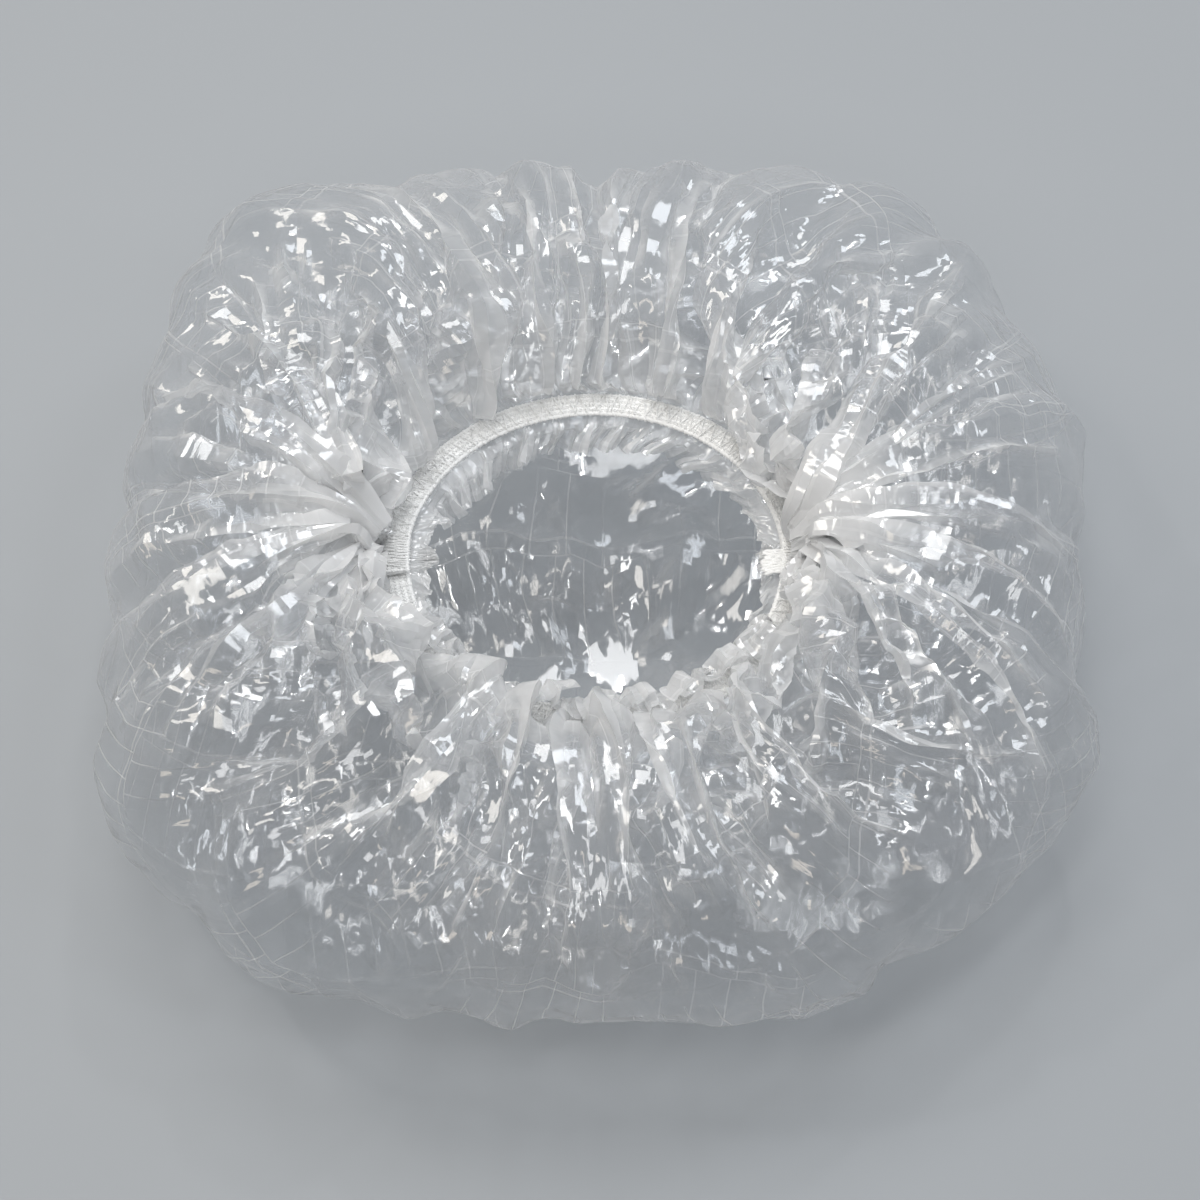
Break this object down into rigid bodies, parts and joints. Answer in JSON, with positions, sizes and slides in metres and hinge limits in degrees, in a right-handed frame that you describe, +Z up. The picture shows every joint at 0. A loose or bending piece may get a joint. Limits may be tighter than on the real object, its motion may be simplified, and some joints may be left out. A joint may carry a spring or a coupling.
{
  "type": "shower cap",
  "caption": "Disposable shower cap of clear pleated film, puffed open and standing on its crown, its rim drawn in by white knitted elastic joined at two tacks.",
  "frame": {"origin": "on the surface that the crown rests on, under the middle of the cap's bounding box", "axes": "+Z up out of the opening; +X from the left tack to the right tack, towards the elastic's free tail; +Y to the back, away from the viewer"},
  "size_m": [0.1614, 0.156, 0.053],
  "materials": {
    "film": "clear glossy polyethylene film, crinkled and creased from packing",
    "elastic": "white knitted elastic band with fine ribs and a fuzzy edge",
    "thread": "white polyester sewing thread"
  },
  "bodies": {
    "root": {"film_cap": "film", "elastic_back": "elastic", "elastic_front": "elastic", "seam_thread_back": "thread", "seam_thread_front": "thread", "bar_tack_left": "thread", "bar_tack_right": "thread"}
  },
  "joints": []
}
